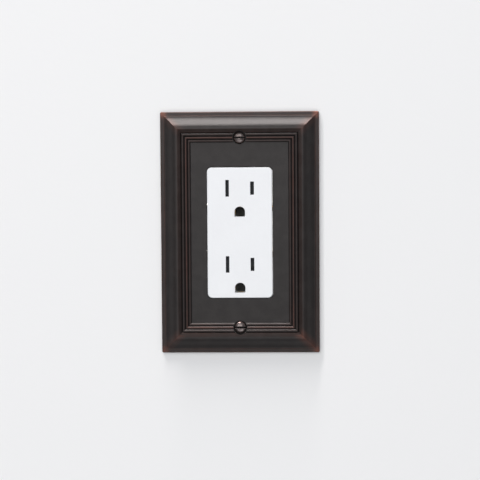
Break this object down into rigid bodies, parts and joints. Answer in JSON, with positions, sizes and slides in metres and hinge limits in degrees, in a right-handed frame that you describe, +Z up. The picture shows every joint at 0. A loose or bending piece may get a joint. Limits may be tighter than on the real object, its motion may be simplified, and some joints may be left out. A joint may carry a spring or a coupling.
{
  "type": "wall plate cover with receptacle",
  "caption": "Moulded bronze single-gang wall plate with beaded border and rounded window, held by slotted oval-head screws over a white grounded duplex receptacle.",
  "frame": {"origin": "on the finished wall's surface, at the centre of the plate's window and of the receptacle's strap", "axes": "+Z up the plate, +X to the right as one faces it, +Y into the wall; the room is on -Y"},
  "size_m": [0.0812, 0.0316, 0.1236],
  "materials": {
    "bronze": "satin oil-rubbed bronze, rubbed to copper on its edges",
    "bronze_screw": "satin bronze, worn on the head",
    "white_plastic": "smooth",
    "grey_plastic": "moulded",
    "body_plastic": "moulded",
    "zinc_steel": "zinc plated",
    "brass": "stamped",
    "nickel": "nickel plated",
    "green_steel": "green dyed plating",
    "spring_steel": "bright drawn wire",
    "fibre": "pressed fibre"
  },
  "bodies": {
    "receptacle": {"face_cover": "white_plastic", "back_body": "body_plastic", "mounting_strap": "zinc_steel", "ground_contact_strip": "brass", "ground_rivet_upper": "brass", "ground_rivet_lower": "brass", "hot_contact_strip": "brass", "neutral_contact_strip": "nickel", "shutter_retainer": "body_plastic", "shutter_spring_upper": "spring_steel", "shutter_spring_lower": "spring_steel", "screw_washer_top": "fibre", "screw_washer_bottom": "fibre", "housing_screw_upper_right": "zinc_steel", "housing_screw_upper_left": "zinc_steel", "housing_screw_lower_right": "zinc_steel", "housing_screw_lower_left": "zinc_steel"},
    "cover_plate": {"wall_plate": "bronze"},
    "plate_screw_top": {"plate_screw_top": "bronze_screw"},
    "plate_screw_bottom": {"plate_screw_bottom": "bronze_screw"},
    "mounting_screw_top": {"mounting_screw_top": "zinc_steel"},
    "mounting_screw_bottom": {"mounting_screw_bottom": "zinc_steel"},
    "hot_screw_upper": {"hot_screw_upper": "brass"},
    "hot_clamp_upper": {"hot_clamp_upper": "brass"},
    "hot_screw_lower": {"hot_screw_lower": "brass"},
    "hot_clamp_lower": {"hot_clamp_lower": "brass"},
    "neutral_screw_upper": {"neutral_screw_upper": "nickel"},
    "neutral_clamp_upper": {"neutral_clamp_upper": "nickel"},
    "neutral_screw_lower": {"neutral_screw_lower": "nickel"},
    "neutral_clamp_lower": {"neutral_clamp_lower": "nickel"},
    "ground_screw": {"ground_screw": "green_steel"},
    "shutter_upper": {"shutter_upper": "grey_plastic"},
    "shutter_lower": {"shutter_lower": "grey_plastic"}
  },
  "joints": [
    {"name": "plate_lift", "type": "slide", "parent": "receptacle", "child": "cover_plate", "axis": [0, -1, 0], "range_m": [0, 0.03]},
    {"name": "plate_screw_top_turn", "type": "hinge", "parent": "cover_plate", "child": "plate_screw_top", "pos_m": [0, 0, 0.04842], "axis": [0, -1, 0], "range_deg": [0, 3510]},
    {"name": "plate_screw_bottom_turn", "type": "hinge", "parent": "cover_plate", "child": "plate_screw_bottom", "pos_m": [0, 0, -0.04842], "axis": [0, -1, 0], "range_deg": [0, 3510]},
    {"name": "mounting_screw_top_turn", "type": "hinge", "parent": "receptacle", "child": "mounting_screw_top", "pos_m": [0, 0, 0.04167], "axis": [0, -1, 0], "range_deg": [0, 9810]},
    {"name": "mounting_screw_bottom_turn", "type": "hinge", "parent": "receptacle", "child": "mounting_screw_bottom", "pos_m": [0, 0, -0.04167], "axis": [0, -1, 0], "range_deg": [0, 9810]},
    {"name": "hot_clamp_upper_draw", "type": "slide", "parent": "receptacle", "child": "hot_clamp_upper", "axis": [1, 0, 0], "range_m": [0, 0.00218]},
    {"name": "hot_screw_upper_turn", "type": "hinge", "parent": "receptacle", "child": "hot_screw_upper", "pos_m": [0.0164, 0.0096, 0.012], "axis": [-1, 0, 0], "range_deg": [0, 990]},
    {"name": "hot_clamp_lower_draw", "type": "slide", "parent": "receptacle", "child": "hot_clamp_lower", "axis": [1, 0, 0], "range_m": [0, 0.00218]},
    {"name": "hot_screw_lower_turn", "type": "hinge", "parent": "receptacle", "child": "hot_screw_lower", "pos_m": [0.0164, 0.0096, -0.012], "axis": [-1, 0, 0], "range_deg": [0, 990]},
    {"name": "neutral_clamp_upper_draw", "type": "slide", "parent": "receptacle", "child": "neutral_clamp_upper", "axis": [-1, 0, 0], "range_m": [0, 0.00218]},
    {"name": "neutral_screw_upper_turn", "type": "hinge", "parent": "receptacle", "child": "neutral_screw_upper", "pos_m": [-0.0164, 0.0096, 0.012], "axis": [1, 0, 0], "range_deg": [0, 990]},
    {"name": "neutral_clamp_lower_draw", "type": "slide", "parent": "receptacle", "child": "neutral_clamp_lower", "axis": [-1, 0, 0], "range_m": [0, 0.00218]},
    {"name": "neutral_screw_lower_turn", "type": "hinge", "parent": "receptacle", "child": "neutral_screw_lower", "pos_m": [-0.0164, 0.0096, -0.012], "axis": [1, 0, 0], "range_deg": [0, 990]},
    {"name": "ground_screw_turn", "type": "hinge", "parent": "receptacle", "child": "ground_screw", "pos_m": [-0.0102, 0.0055, -0.042], "axis": [-1, 0, 0], "range_deg": [0, 2070]},
    {"name": "shutter_upper_slide", "type": "slide", "parent": "receptacle", "child": "shutter_upper", "axis": [1, 0, 0], "range_m": [0, 0.0029], "stiffness_N_per_m": 120, "springref_m": -0.001, "deforming": ["shutter_spring_upper"]},
    {"name": "shutter_lower_slide", "type": "slide", "parent": "receptacle", "child": "shutter_lower", "axis": [1, 0, 0], "range_m": [0, 0.0029], "stiffness_N_per_m": 120, "springref_m": -0.001, "deforming": ["shutter_spring_lower"]}
  ],
  "couplings": [
    {"joint": "hot_screw_upper_turn", "follows": "hot_clamp_upper_draw", "rad_per_m": 7915.8},
    {"joint": "hot_screw_lower_turn", "follows": "hot_clamp_lower_draw", "rad_per_m": 7915.8},
    {"joint": "neutral_screw_upper_turn", "follows": "neutral_clamp_upper_draw", "rad_per_m": 7915.8},
    {"joint": "neutral_screw_lower_turn", "follows": "neutral_clamp_lower_draw", "rad_per_m": 7915.8}
  ]
}
